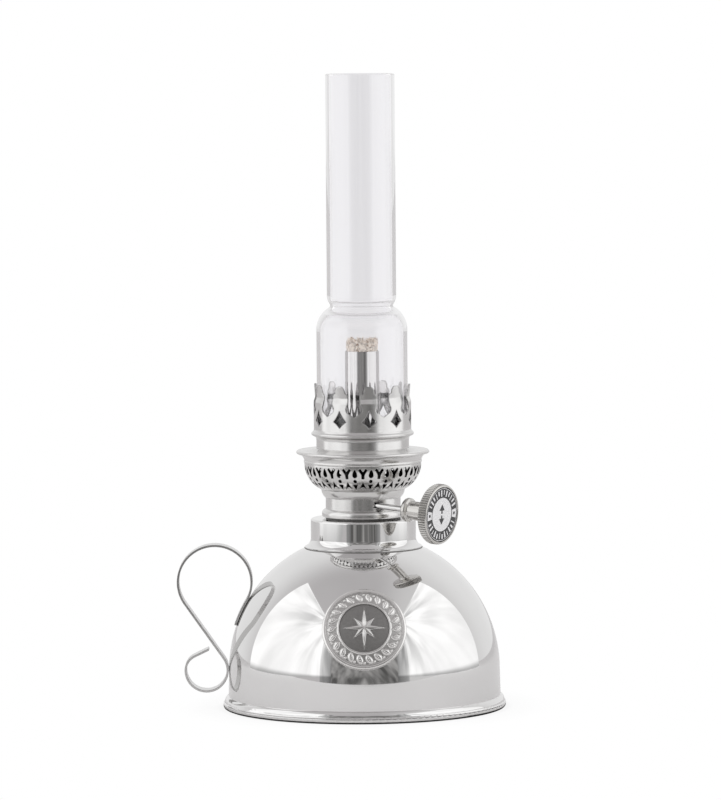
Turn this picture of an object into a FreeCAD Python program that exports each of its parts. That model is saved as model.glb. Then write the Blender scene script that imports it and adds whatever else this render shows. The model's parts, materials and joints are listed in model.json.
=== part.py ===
"""Kerosene table lamp: a domed oil font with a curled strip handle, a small round-wick burner
with its winder, and a glass chimney.

Millimetres, +Z up. The origin is the centre of the base's underside. The badge faces -Y, the
handle is at -X and the winder knob points to the front right.
"""
import FreeCAD
import Part
import Sketcher
import math
import os

V = FreeCAD.Vector
DOC = FreeCAD.newDocument("lamp")
FULL_TURN = 360.0

# ---------------------------------------------------------------- driving dimensions

DIMENSIONS = {
    # font
    "sheet": 0.6,            # thickness of the spun sheet
    "dome_rad": 51.6,        # the dome is part of a ball of this radius
    "dome_mid": 14.4,        # height of the ball's centre
    "dome_hole": 15.5,       # filling hole under the collar
    "skirt_rad": 51.85,      # foot of the dome wall
    "skirt_low": 4.6,        # where the dome wall starts to turn out
    "skirt_bend": 2.25,
    "rim_rad": 53.8,         # widest point of the base
    "rim_top": 2.5,          # where the turned-out wall rolls over into the lip
    "rim_round": 0.5,
    "lip_low": 1.9,          # underside of the dome's lip
    "foot_width": 3.0,       # rolled edge that the lamp stands on
    "foot_round": 0.9,
    "foot_seam": 0.3,        # small rounding of its upper edges
    "floor_low": 1.0,        # underside of the base plate
    # collar
    "collar_rad": 20.0,
    "collar_foot": 22.3,
    "collar_lip": 0.5,       # upright edge of the foot
    "collar_flare": 3.4,     # radius of the curve from its wall to its foot
    "collar_waist": 65.0,    # height where the wall starts to flare
    "collar_top": 72.2,
    "collar_wall": 0.8,
    "thread_rad": 13.0,      # bore that takes the burner
    "thread_low": 64.3,
    "solder_gap": 0.02,      # pieces that are soldered together stand this far apart
    # handle strip
    "strip_thick": 0.8,
    "strip_width": 8.0,
    "big_loop": 14.0,        # bend radii, to the middle of the strip
    "small_loop": 8.0,
    "small_loop_z": 14.6,
    "small_loop_gap": 0.06,  # room for the dome wall, which leans out below the ball's centre
    "curl": 6.0,             # tighter bend after the small loop's outermost point
    "contact_angle": 30.8,   # where the big loop touches the dome, above the ball's centre
    "tail_angle": 19.6,      # where the strip's upper end stops
    "curl_end": 424.5,       # where the curl stops, counted from the lamp's side of the loop
    "scroll_end": 6.0,       # straight end of the small scroll
    # badge
    "badge_rad": 15.8,
    "badge_thick": 1.2,
    "badge_tilt": 24.0,      # how far up the badge looks
    # burner body
    "seal_rad": 14.2,
    "plug_rad": 12.85,       # part of the burner that screws into the collar
    "plug_low": 65.4,
    "burner_bore": 11.8,
    "bead_rad": 15.7,
    "bead_low": 72.7,
    "bead_edge": 0.8,        # rounding under the bead
    "bead_wide": 74.1,       # height up to which the bead keeps its full width
    "bead_cove": 1.8,
    "bead_top": 75.9,
    "neck_rad": 14.25,
    "neck_top": 80.2,
    "deck_low": 73.5,        # plate inside the neck that holds the wick tube
    "deck_thick": 0.6,
    # pierced basket and dish
    "basket_floor": 12.4,    # bore of the basket's floor
    "basket_foot": 14.5,
    "basket_lip": 15.9,
    "basket_swell": 5.0,     # curve of the band under the holes
    "basket_lip_z": 83.3,
    "basket_rad": 22.2,
    "basket_top": 93.5,
    "basket_curve": 11.0,
    "dish_rad": 25.2,
    "dish_step": 1.0,        # height of the dish's upright foot
    "dish_cove": 3.6,
    "dish_edge": 97.5,
    "dish_edge_bend": 0.65,
    "dish_top": 99.1,
    "dish_overhang": 0.1,    # how far the foot stands out past the basket
    "dish_seat": 0.9,        # width of the foot's underside
    "dish_lip": 1.2,         # height of the lip
    "dish_flat": 1.2,        # level ledge round the holder
    "dish_slope": 12.0,      # curve of the sloping top
    # chimney holder
    "holder_rad": 17.6,
    "holder_low": 98.0,
    "bead_ring": 18.9,
    "bead_ring_z": 104.5,
    "crown_rad": 18.5,
    "crown_step_z": 116.8,   # where the fingers start to step in
    "crown_pinch": 17.9,     # and the radius and height that they step in to
    "crown_pinch_z": 118.7,
    "crown_tip": 18.35,
    "crown_top": 123.4,
    "crown_sheet": 0.5,
    "bead_half": 0.75,       # half the height of the bead's rounded edge
    "shelf_rad": 15.6,       # bore of the ledge under the glass
    "shelf_z": 103.8,
    # wick parts
    "tube_rad": 6.45,
    "tube_foot_rad": 6.8,
    "tube_wall": 0.35,
    "tube_low": 64.5,
    "tube_top": 135.9,
    "wick_rad": 5.9,
    "wick_bore": 4.45,
    "wick_top": 139.3,
    "wick_low": 14.9,
    "wick_slit": 4.4,        # gap down the back of the rolled wick
    "press_up": 9.4,         # how far the wick's flattened side runs above the wheels
    "press_down": 5.4,
    "draught_rad": 4.25,
    "draught_low": 84.9,
    "draught_top": 134.7,
    "duct_low": 85.9,
    "duct_width": 3.6,
    "duct_tall": 6.4,
    # winder
    "winder_azimuth": 55.0,  # from -Y towards +X
    "winder_fall": 4.0,      # how far the spindle slopes down outwards
    "winder_offset": 7.2,    # distance from the lamp's axis to the spindle's
    "winder_z": 78.8,        # spindle's height where it passes the axis
    "spindle_rad": 1.15,
    "spindle_inner": 8.0,    # the spindle's inner end, beyond where it passes the axis
    "running_gap": 0.05,
    "neck_hole": 2.0,        # radius of the hole in the neck that the spindle passes through
    "bush_rad": 1.85,
    "bush_start": 8.4,
    "bush_length": 2.4,
    "end_bush_length": 3.0,
    "wheel_rad": 2.3,
    "tooth_tall": 0.55,
    "wheel_thick": 1.0,
    "wheel_spacing": 5.0,
    "window_gap": 0.6,       # room round the wheels in the wick tube
    "hub_start": 25.0,       # distances along the spindle from where it passes the axis
    "hub_flange_rad": 4.5,
    "hub_flange": 2.0,
    "hub_round": 0.4,
    "hub_rad": 3.4,
    "hub_cove": 0.8,
    "knob_back": 37.2,
    "knob_face": 41.3,
    "knob_rad": 11.4,
    "knob_edge": 0.5,
    "enamel_rad": 10.3,
    "enamel_sink": 0.8,      # depth of the recess for the enamel face
    "enamel_thick": 0.6,
    "knob_web": 1.0,         # metal under the enamel
    # chimney
    "glass": 1.3,
    "glass_low": 104.4,
    "glass_rad": 17.25,
    "glass_shoulder": 143.4,
    "shoulder_bend": 10.0,
    "glass_neck_rad": 12.2,
    "glass_neck_low": 152.6,
    "glass_neck_top": 153.8,
    "neck_bend": 0.8,
    "glass_tube_rad": 13.15,
    "glass_tube_low": 157.6,
    "tube_bend": 6.0,
    "ring_top": 155.4,       # thick ring of glass inside the pinch, up to the tube
    "ring_low": 149.3,
    "ring_low_rad": 13.6,
    "ring_bend": 3.8,
    "glass_lip": 0.72,       # rounding of the top edge
    "glass_top": 240.9,
}
FINGERS = 10                 # chimney holder fingers, an even number
PIERCINGS = 22               # columns of holes in the basket, an even number
WHEEL_TEETH = 12
CROWN_TURN = -10.0           # turns a gap between fingers this far from -Y towards +X


class Size:
    """A number together with the sheet formula that gives it."""

    def __init__(self, value, text):
        self.value = value
        self.text = text

    def __add__(self, other):
        other = size(other)
        return Size(self.value + other.value, f"({self.text} + {other.text})")

    def __sub__(self, other):
        other = size(other)
        return Size(self.value - other.value, f"({self.text} - {other.text})")

    def __mul__(self, other):
        other = size(other)
        return Size(self.value * other.value, f"({self.text} * {other.text})")

    def __truediv__(self, other):
        other = size(other)
        return Size(self.value / other.value, f"({self.text} / {other.text})")

    __radd__ = __add__
    __rmul__ = __mul__

    def __rsub__(self, other):
        return size(other) - self


def size(number):
    return number if isinstance(number, Size) else Size(float(number), repr(float(number)))


def root(a):
    return Size(math.sqrt(a.value), f"sqrt({a.text})")


def sine(a):
    return Size(math.sin(math.radians(a.value)), f"sin({a.text} * 1 deg)")


def cosine(a):
    return Size(math.cos(math.radians(a.value)), f"cos({a.text} * 1 deg)")


class Sheet:
    """The spreadsheet; each dimension is also an attribute that holds its Size."""

    def __init__(self):
        table = DOC.addObject("Spreadsheet::Sheet", "dims")
        for row, (alias, number) in enumerate(DIMENSIONS.items(), start=1):
            table.set(f"A{row}", alias)
            table.set(f"B{row}", str(number))
            table.setAlias(f"B{row}", alias)
            setattr(self, alias, Size(float(number), f"dims.{alias}"))
        DOC.recompute()


D = Sheet()

# ---------------------------------------------------------------- drawing helpers


def bind(obj, **sizes):
    """Sets properties of an object from Sizes, and ties them to the sheet."""
    for name, given in sizes.items():
        given = size(given)
        setattr(obj, name, given.value)
        if "dims." in given.text:
            obj.setExpression(name, given.text)


def body(name):
    made = DOC.addObject("PartDesign::Body", name)
    made.Label = name
    return made


def origin_plane(part, role):
    return next(f for f in part.Origin.OriginFeatures if f.Role == role)


def edge_between(start, end, radius):
    """A straight edge, or a short arc that bulges left of travel for a positive radius."""
    if radius is None:
        return Part.LineSegment(start, end)
    chord = end - start
    half = chord.Length / 2
    rise = abs(radius) - math.sqrt(max(radius * radius - half * half, 0.0))
    left = V(-chord.y, chord.x, 0).normalize()
    return Part.Arc(start, (start + end) / 2 + left * math.copysign(rise, radius), end)


def sketch(part, name, *outlines, plane="XZ_Plane", turn=0.0):
    """Closed outlines on an origin plane, which may be turned about Z.

    A point is (x, y) or (x, y, radius of the arc to it).
    """
    drawn = part.newObject("Sketcher::SketchObject", name)
    drawn.AttachmentSupport = [(origin_plane(part, plane), "")]
    drawn.MapMode = "FlatFace"
    if turn:
        drawn.AttachmentOffset = FreeCAD.Placement(V(0, 0, 0), FreeCAD.Rotation(V(0, 1, 0), turn))
    for outline in outlines:
        points = [(size(p[0]), size(p[1]), size(p[2]) if len(p) > 2 else None) for p in outline]
        places = [V(p[0].value, p[1].value, 0) for p in points]
        count = len(points)
        first = drawn.GeometryCount
        arcs = {}
        for i in range(count):
            bend = points[(i + 1) % count][2]
            edge = edge_between(places[i], places[(i + 1) % count], bend.value if bend else None)
            drawn.addGeometry(edge, False)
            if bend:
                arcs[first + i] = bend
        ends = [ends_of(drawn, first + i, places[i]) for i in range(count)]
        for i in range(count):
            after = (i + 1) % count
            drawn.addConstraint(Sketcher.Constraint(
                "Coincident", first + i, ends[i][1], first + after, ends[after][0]))
        for i in range(count):
            hold(drawn, "DistanceX", -2, first + i, ends[i][0], points[i][0])
            hold(drawn, "DistanceY", -1, first + i, ends[i][0], points[i][1])
        for edge, bend in arcs.items():
            length = Size(abs(bend.value), bend.text if bend.value > 0 else f"(-1 * {bend.text})")
            number = drawn.addConstraint(Sketcher.Constraint("Radius", edge, length.value))
            tie(drawn, number, length)
    return drawn


def ends_of(drawn, edge, start):
    """Vertex numbers (first, last) of an edge in the direction of travel."""
    at_first = drawn.getPoint(edge, 1).distanceToPoint(start) < drawn.getPoint(edge, 2).distanceToPoint(start)
    return (1, 2) if at_first else (2, 1)


def hold(drawn, kind, axis, edge, vertex, length):
    """Fixes one coordinate of a vertex; a zero puts the vertex on the axis."""
    if abs(length.value) < 1e-9:
        drawn.addConstraint(Sketcher.Constraint("PointOnObject", edge, vertex, axis))
    else:
        number = drawn.addConstraint(
            Sketcher.Constraint(kind, -1, 1, edge, vertex, length.value))
        tie(drawn, number, length)


def tie(drawn, number, length):
    if "dims." in length.text:
        drawn.setExpression(f"Constraints[{number}]", length.text)


def revolve(part, drawn):
    """Turns a sketch on the XZ plane about the Z axis."""
    turned = part.newObject("PartDesign::Revolution", f"{part.Name}_turned")
    turned.Profile = drawn
    turned.ReferenceAxis = (drawn, ["V_Axis"])
    turned.Angle = FULL_TURN
    part.Tip = turned
    DOC.recompute()
    return turned


def turned_body(name, outline):
    part = body(name)
    revolve(part, sketch(part, f"{name}_outline", outline))
    return part


def cut_through(part, name, outlines, copies, turn=0.0):
    """Cuts outlines drawn on the XZ plane through both sides, then repeats the cut over half a turn."""
    before = part.Shape.Volume
    drawn = sketch(part, f"{name}_outline", *outlines, turn=turn)
    pocket = part.newObject("PartDesign::Pocket", name)
    pocket.Profile = drawn
    pocket.Type = 1
    pocket.Midplane = True
    part.Tip = pocket
    DOC.recompute()
    if copies > 1:
        pattern = part.newObject("PartDesign::PolarPattern", f"{name}_pattern")
        pattern.Originals = [pocket]
        pattern.Axis = (origin_plane(part, "Z_Axis"), [""])
        pattern.Angle = FULL_TURN / 2 * (copies - 1) / copies
        pattern.Occurrences = copies
        part.Tip = pattern
        DOC.recompute()
    if part.Shape.Volume >= before:
        raise RuntimeError(f"{name} cut nothing")


def cylinder(name, radius, low, high):
    made = DOC.addObject("Part::Cylinder", name)
    bind(made, Radius=radius, Height=high - low)
    made.setExpression("Placement.Base.z", low.text)
    made.Placement.Base.z = low.value
    return made


def combine(kind, name, base, tool):
    """A Part::Cut, Part::Common or Part::Fuse of two objects."""
    made = DOC.addObject(kind, name)
    made.Base = base
    made.Tool = tool
    made.Label = name
    DOC.recompute()
    return made


# ---------------------------------------------------------------- font


def ball_height(radius, ball):
    """Height of the dome's ball, of the given radius, at a distance from the axis."""
    return D.dome_mid + root(ball * ball - radius * radius)


def font_dome():
    inner = D.dome_rad - D.sheet
    return turned_body("font_dome", [
        (D.dome_hole, ball_height(D.dome_hole, D.dome_rad)),
        (D.dome_rad, D.dome_mid, D.dome_rad),
        (D.skirt_rad, D.skirt_low),
        (D.rim_rad - D.rim_round, D.rim_top, D.skirt_bend),
        (D.rim_rad, D.rim_top - D.rim_round, -1 * D.rim_round),
        (D.rim_rad, D.lip_low),
        (D.rim_rad - D.sheet, D.lip_low),
        (D.rim_rad - D.rim_round - D.sheet, D.rim_top - D.sheet / 2),
        (D.skirt_rad - D.sheet, D.skirt_low, -1 * (D.skirt_bend + D.sheet)),
        (inner, D.dome_mid),
        (D.dome_hole, ball_height(D.dome_hole, inner), -1 * inner),
    ])


def base_plate():
    """Floor of the font, with the rolled edge that the lamp stands on."""
    corner = D.foot_round
    seam = D.foot_seam
    inside = D.rim_rad - D.foot_width
    top = D.lip_low - D.solder_gap
    return turned_body("base_plate", [
        (0, D.floor_low),
        (inside, D.floor_low),
        (inside, corner),
        (inside + corner, 0, -1 * corner),
        (D.rim_rad - corner, 0),
        (D.rim_rad, corner, -1 * corner),
        (D.rim_rad, top - seam),
        (D.rim_rad - seam, top, -1 * seam),
        (inside, top),
        (inside, D.floor_low + D.sheet),
        (0, D.floor_low + D.sheet),
    ])


def collar():
    """Ring soldered to the dome; its turned-in top carries the burner's thread."""
    wall = D.collar_wall
    seat = D.dome_rad + D.solder_gap
    inner_foot = D.collar_foot - wall
    inner_top = D.collar_top - wall
    return turned_body("collar", [
        (D.collar_foot, ball_height(D.collar_foot, seat)),
        (D.collar_foot, ball_height(D.collar_foot, seat) + D.collar_lip),
        (D.collar_rad, D.collar_waist, D.collar_flare),
        (D.collar_rad, inner_top),
        (D.collar_rad - wall, D.collar_top, -1 * wall),
        (D.thread_rad, D.collar_top),
        (D.thread_rad, D.thread_low),
        (D.thread_rad + wall, D.thread_low),
        (D.thread_rad + wall, inner_top),
        (D.collar_rad - wall, inner_top),
        (D.collar_rad - wall, D.collar_waist),
        (inner_foot, ball_height(inner_foot, seat), -1 * D.collar_flare),
    ])


def polar(centre, radius, angle):
    return centre[0] + radius * cosine(angle), centre[1] + radius * sine(angle)


def handle_strip():
    """One flat strip: a tail soldered along the dome, a large loop, a straight run, a small scroll.

    It is drawn on the +X side, through stations of (centre, radius, angle, turn of the arc there).
    """
    half = D.strip_thick / 2
    ball = (size(0), D.dome_mid)
    along = D.dome_rad + D.solder_gap + half
    big = polar(ball, along + D.big_loop, D.contact_angle)
    small = (along + D.small_loop + D.small_loop_gap, D.small_loop_z)
    leave = run_angle(big, small, D.big_loop + D.small_loop)
    curl = (small[0] + D.small_loop - D.curl, D.small_loop_z)
    stations = [(ball, along, D.tail_angle, None)]
    stations += [(ball, along, D.contact_angle, -1)]
    stations += [(big, D.big_loop, size(angle), 1) for angle in (125.0, 45.0)]
    stations += [(big, D.big_loop, leave, 1)]
    stations += [(small, D.small_loop, leave + 180.0, None)]
    stations += [(small, D.small_loop, size(angle), -1) for angle in (230.0, 300.0, FULL_TURN)]
    stations += [(curl, D.curl, D.curl_end, -1)]
    left, right = [], []
    for centre, radius, angle, turn in stations:
        side = -1 if centre is big else 1
        left_radius, right_radius = radius - half * side, radius + half * side
        left.append((*polar(centre, left_radius, angle), turn and left_radius * turn))
        right.append((*polar(centre, right_radius, angle), turn and right_radius * turn * -1))
    for row in (left, right):
        x, z = row[-1][:2]
        row.append((x - D.scroll_end * sine(D.curl_end), z + D.scroll_end * cosine(D.curl_end), None))
    bends = [point[2] for point in right]
    back = [(x, z, bend) for (x, z, _), bend in zip(reversed(right), [None, *reversed(bends[1:])])]
    outline = [tuple(c for c in point if c is not None) for point in left + back]

    part = body("handle_strip")
    drawn = sketch(part, "handle_strip_outline", outline)
    pad = part.newObject("PartDesign::Pad", "handle_strip_pad")
    pad.Profile = drawn
    pad.Midplane = True
    bind(pad, Length=D.strip_width)
    part.Tip = pad
    part.Placement = FreeCAD.Placement(V(0, 0, 0), FreeCAD.Rotation(V(0, 0, 1), FULL_TURN / 2))
    return part


def run_angle(first, second, reach):
    """Where the straight run leaves the first loop, for loops that curl opposite ways."""
    across, up = second[0] - first[0], second[1] - first[1]
    span = root(across * across + up * up)
    share = reach / span
    bearing = Size(math.degrees(math.atan2(up.value, across.value)),
                   f"(atan2({up.text}; {across.text}) / 1 deg)")
    swing = Size(math.degrees(math.acos(share.value)), f"(acos({share.text}) / 1 deg)")
    return bearing + swing


def badge():
    """Round badge pressed to the dome's curve."""
    shell = []
    for name, grown in (("badge_outer", D.solder_gap + D.badge_thick), ("badge_inner", D.solder_gap)):
        ball = DOC.addObject("Part::Sphere", name)
        bind(ball, Radius=D.dome_rad + grown)
        ball.Placement.Base.z = D.dome_mid.value
        ball.setExpression("Placement.Base.z", D.dome_mid.text)
        shell.append(ball)
    cap = combine("Part::Cut", "badge_shell", *shell)
    punch = DOC.addObject("Part::Cylinder", "badge_punch")
    bind(punch, Radius=D.badge_rad, Height=D.dome_rad + D.badge_rad)
    outward = FreeCAD.Rotation(V(1, 0, 0), FULL_TURN / 4 - D.badge_tilt.value)
    punch.Placement = FreeCAD.Placement(V(0, 0, D.dome_mid.value), outward)
    return combine("Part::Common", "badge", cap, punch)


# ---------------------------------------------------------------- burner


def winder_frame():
    """Placement that lays +Z along the spindle, from the point nearest the lamp's axis."""
    azimuth = math.radians(D.winder_azimuth.value)
    fall = math.radians(D.winder_fall.value)
    along = V(math.sin(azimuth) * math.cos(fall), -math.cos(azimuth) * math.cos(fall), -math.sin(fall))
    nearest = V(-math.cos(azimuth), -math.sin(azimuth), 0) * D.winder_offset.value
    nearest.z = D.winder_z.value
    return FreeCAD.Placement(nearest, FreeCAD.Rotation(V(0, 0, 1), along))


WINDER = winder_frame()


def along_winder(distance):
    """The winder's placement, moved along the spindle."""
    return WINDER.multiply(FreeCAD.Placement(V(0, 0, distance.value), FreeCAD.Rotation()))


def winder_cylinder(name, radius, start, end):
    """A cylinder on the spindle's axis, between two distances along it."""
    made = DOC.addObject("Part::Cylinder", name)
    bind(made, Radius=radius, Height=end - start)
    made.Placement = along_winder(start)
    return made


def winder_box(name, inner, outer, half_length, low, high):
    """A box square to the spindle in plan: inner and outer are distances from the lamp's axis."""
    made = DOC.addObject("Part::Box", name)
    bind(made, Length=half_length * 2, Width=outer - inner, Height=high - low)
    turn = FreeCAD.Rotation(V(0, 0, 1), D.winder_azimuth.value + 90.0)
    corner = turn.multVec(V(-half_length.value, inner.value, 0))
    corner.z = low.value
    made.Placement = FreeCAD.Placement(corner, turn)
    return made


def seal_ring():
    low, high = D.collar_top + D.solder_gap, D.bead_low - D.solder_gap
    outer = cylinder("seal_outer", D.seal_rad, low, high)
    bore = cylinder("seal_bore", D.thread_rad, low - 1, high + 1)
    return combine("Part::Cut", "seal_ring", outer, bore)


def burner_neck():
    """Plug that screws into the collar, the bead above it, and the neck that carries the basket."""
    edge = D.bead_edge
    shell = turned_body("neck_shell", [
        (D.burner_bore, D.plug_low),
        (D.plug_rad, D.plug_low),
        (D.plug_rad, D.bead_low),
        (D.bead_rad - edge, D.bead_low),
        (D.bead_rad, D.bead_low + edge, -1 * edge),
        (D.bead_rad, D.bead_wide),
        (D.neck_rad, D.bead_top, -1 * D.bead_cove),
        (D.neck_rad, D.neck_top),
        (D.burner_bore, D.neck_top),
    ])
    hole = winder_cylinder("spindle_hole", D.neck_hole, D.winder_offset, D.hub_start)
    return combine("Part::Cut", "burner_neck", shell, hole)


def burner_deck():
    """Plate inside the neck that closes the font and holds the wick tube."""
    top = D.deck_low + D.deck_thick
    outer = cylinder("deck_outer", D.burner_bore - D.solder_gap, D.deck_low, top)
    bore = cylinder("deck_bore", D.tube_foot_rad + D.solder_gap, D.deck_low - 1, top + 1)
    return combine("Part::Cut", "burner_deck", outer, bore)


def drop_column():
    """A drop, a dot and a wedge in line, up the side of the basket."""
    low = D.basket_lip_z
    tip_bend, foot_bend, half_drop = 4.0, 0.95, 0.9
    dot, dot_z = 0.65, low + 4.5
    half_wedge = 0.95
    return [
        [(0, low + 9.2, tip_bend), (half_drop, low + 6.9, tip_bend), (0, low + 5.9, foot_bend),
         (-half_drop, low + 6.9, foot_bend)],
        [(dot, dot_z, dot), (0, dot_z - dot, dot), (-dot, dot_z, dot), (0, dot_z + dot, dot)],
        [(-half_wedge, low + 3.2), (half_wedge, low + 3.2), (0, low + 1.1)],
    ]


def mirrored(right):
    """An outline that starts on the middle line, closed by its mirror image."""
    return right + [(-x, z) for x, z in right[:0:-1]]


def fork_column():
    """A fork above an arrow, which stand between the drops; heights are above the basket's lip."""
    low = D.basket_lip_z
    fork = mirrored([(0, 8.2), (1.05, 9.5), (1.75, 8.9), (0.62, 7.1), (0.5, 5.5)])
    arrow = mirrored([(0, 4.3), (1.35, 1.3), (0.4, 2.2)])
    return [[(x, low + z) for x, z in shape] for shape in (fork, arrow)]


def air_basket():
    """Pierced bowl that lets air in under the flame."""
    foot = D.neck_top + D.solder_gap
    inner_curve = D.basket_curve - D.sheet
    part = turned_body("air_basket", [
        (D.basket_floor, foot),
        (D.basket_foot, foot),
        (D.basket_lip, D.basket_lip_z, -1 * D.basket_swell),
        (D.basket_rad, D.basket_top, -1 * D.basket_curve),
        (D.basket_rad - D.sheet, D.basket_top),
        (D.basket_lip - D.sheet, D.basket_lip_z + D.sheet / 2, inner_curve),
        (D.basket_foot - D.sheet / 2, foot + D.sheet, D.basket_swell - D.sheet),
        (D.basket_floor, foot + D.sheet),
    ])
    half_pitch = FULL_TURN / PIERCINGS / 2
    cut_through(part, "fork_holes", fork_column(), PIERCINGS // 2)
    cut_through(part, "drop_holes", drop_column(), PIERCINGS // 2, turn=half_pitch)
    return part


def gallery_dish():
    """Flared ring on top of the basket: upright foot, coved flare, rounded lip and sloping top."""
    low = D.basket_top + D.solder_gap
    step_top = low + D.dish_step
    foot = D.basket_rad + D.dish_overhang
    lip = D.dish_rad - D.dish_edge_bend / 2
    half_lip = D.dish_lip / 2
    shoulder = D.holder_rad + D.dish_flat
    bore = D.holder_rad + D.solder_gap * 2
    inside = foot - D.sheet
    cove_end = lip - D.dish_lip
    return turned_body("gallery_dish", [
        (foot - D.dish_seat, low),
        (foot, low),
        (foot, step_top, -1 * D.dish_seat),
        (cove_end, D.dish_edge - D.dish_seat, D.dish_cove),
        (lip, D.dish_edge - half_lip),
        (lip, D.dish_edge + half_lip, -1 * D.dish_edge_bend),
        (shoulder, D.dish_top, D.dish_slope),
        (bore, D.dish_top),
        (bore, D.dish_top - D.sheet),
        (shoulder, D.dish_top - D.sheet),
        (cove_end - D.sheet, D.dish_edge),
        (inside, step_top + D.sheet),
        (inside, low + D.dish_step / 2),
    ])


def finger_gap():
    """Tulip-shaped gap between two fingers, drawn as its right side and mirrored."""
    top = D.crown_top
    right_side = [
        (1.1, top - 10.9, None),     # nick under the gap
        (2.7, top - 9.9, None),      # foot of the finger
        (3.1, top - 8.2, -2.4),      # its waist
        (2.4, top - 4.6, 5.0),       # its widest place
        (3.6, top - 2.6, 1.7),       # where the small arched tip starts
        (5.5, top + 0.3, 2.7),
    ]
    gap = [(0, top - 11.6)] + [point if point[2] else point[:2] for point in right_side]
    bends = [None] + [point[2] for point in right_side[:0:-1]]
    for (x, z, _), bend in zip(right_side[::-1], bends):
        gap.append((-x, z, bend) if bend else (-x, z))
    return gap


def kite_hole():
    """Kite with hollow sides, under each finger."""
    top = D.crown_top
    half_width, long_side, short_side = 2.75, -14.0, -9.0
    return [
        (0, top - 9.2, long_side),
        (half_width, top - 13.5, long_side),
        (0, top - 15.9, short_side),
        (-half_width, top - 13.5, short_side),
    ]


def gallery_crown():
    """Chimney holder: a beaded ring with springy fingers and a kite-shaped hole under each."""
    thick = D.crown_sheet
    bead_low = D.bead_ring_z - D.bead_half
    bead_high = D.bead_ring_z + D.bead_half
    part = turned_body("gallery_crown", [
        (D.holder_rad, D.holder_low),
        (D.holder_rad, bead_low - D.bead_half * 2),
        (D.bead_ring, bead_low, D.bead_half * 2),
        (D.bead_ring, bead_high, -1 * D.bead_half * 1.05),
        (D.crown_rad, bead_high + D.bead_half),
        (D.crown_rad, D.crown_step_z),
        (D.crown_pinch, D.crown_pinch_z),
        (D.crown_tip, D.crown_top),
        (D.crown_tip - thick, D.crown_top),
        (D.crown_pinch - thick, D.crown_pinch_z),
        (D.crown_rad - thick, D.crown_step_z),
        (D.crown_rad - thick, bead_low),
        (D.holder_rad - thick, bead_low - D.bead_half * 1.5),
        (D.holder_rad - thick, D.holder_low),
    ])
    cut_through(part, "finger_gaps", [finger_gap()], FINGERS // 2)
    cut_through(part, "kite_holes", [kite_hole()], FINGERS // 2, turn=FULL_TURN / FINGERS / 2)
    part.Placement = FreeCAD.Placement(V(0, 0, 0), FreeCAD.Rotation(V(0, 0, 1), CROWN_TURN))
    return part


def chimney_seat():
    """Ledge inside the holder that the glass stands on."""
    sleeve = D.holder_rad - D.crown_sheet - D.solder_gap
    inner_sleeve = sleeve - D.crown_sheet
    foot = D.dish_top + 0.4
    ledge_rad = D.glass_rad + 0.1
    ledge_top = D.glass_low - D.running_gap
    return turned_body("chimney_seat", [
        (inner_sleeve, foot),
        (sleeve, foot),
        (sleeve, D.shelf_z),
        (ledge_rad, D.shelf_z),
        (ledge_rad, ledge_top),
        (D.shelf_rad, ledge_top),
        (D.shelf_rad, D.shelf_z),
        (inner_sleeve, D.shelf_z),
    ])


# ---------------------------------------------------------------- wick and its tubes


def wheel_room(name, inner, above, below):
    """Box that clears the wick wheels, from a distance off the lamp's axis to outside the tube."""
    half_length = D.wheel_spacing / 2 + D.wheel_thick + D.window_gap
    return winder_box(name, inner, D.tube_foot_rad + 1, half_length,
                      D.winder_z - D.wheel_rad - below, D.winder_z + D.wheel_rad + above)


def duct_box(name, grown, outer):
    """Box at the back of the tubes that the draught duct fills; grown widens it all round."""
    made = DOC.addObject("Part::Box", name)
    grown = size(grown)
    bind(made, Length=D.duct_width + grown * 2, Width=outer, Height=D.duct_tall + grown * 2)
    made.Placement.Base = V(-made.Length.Value / 2, 0, (D.duct_low - grown).value)
    return made


def wick_tube():
    """Tapering tube round the wick, with a window for the wheels and one for the draught duct."""
    shell = turned_body("tube_shell", [
        (D.tube_foot_rad - D.tube_wall, D.tube_low),
        (D.tube_foot_rad, D.tube_low),
        (D.tube_rad, D.tube_top),
        (D.tube_rad - D.tube_wall, D.tube_top),
    ])
    window = wheel_room("wheel_window", D.wick_bore, D.window_gap, D.window_gap)
    opened = combine("Part::Cut", "tube_with_window", shell, window)
    duct_window = duct_box("duct_window", D.solder_gap, D.tube_foot_rad + 1)
    return combine("Part::Cut", "wick_tube", opened, duct_window)


def draught_tube():
    """Inner tube that feeds air to the middle of the flame, with its duct out through the back."""
    wall = D.tube_wall
    mouth = D.tube_foot_rad - D.running_gap
    outer = cylinder("draught_outer", D.draught_rad, D.draught_low, D.draught_top)
    reach = cylinder("duct_reach", mouth, D.draught_low, D.draught_top)
    duct = combine("Part::Common", "duct_outer", duct_box("duct_block", 0, mouth), reach)
    solid = combine("Part::Fuse", "draught_solid", outer, duct)
    bore = cylinder("draught_bore", D.draught_rad - wall, D.draught_low + wall, D.draught_top + 1)
    hollow = combine("Part::Cut", "draught_hollow", solid, bore)
    return combine("Part::Cut", "draught_tube", hollow, duct_box("duct_bore", -1 * wall, mouth + 1))


def wick():
    """Flat wick rolled into an open tube: a gap at the back clears the draught duct."""
    outer = cylinder("wick_outer", D.wick_rad, D.wick_low, D.wick_top)
    bore = cylinder("wick_bore", D.wick_bore, D.wick_low - 1, D.wick_top + 1)
    rolled = combine("Part::Cut", "wick_rolled", outer, bore)
    slit = DOC.addObject("Part::Box", "wick_slit")
    bind(slit, Length=D.wick_slit, Width=D.wick_rad + 1, Height=D.wick_top + 1)
    slit.Placement.Base.x = -D.wick_slit.value / 2
    opened = combine("Part::Cut", "wick_opened", rolled, slit)
    flattened = D.winder_offset - D.wheel_rad - D.running_gap
    press = wheel_room("wheel_press", flattened, D.press_up, D.press_down)
    return combine("Part::Cut", "wick", opened, press)


# ---------------------------------------------------------------- winder


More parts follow.
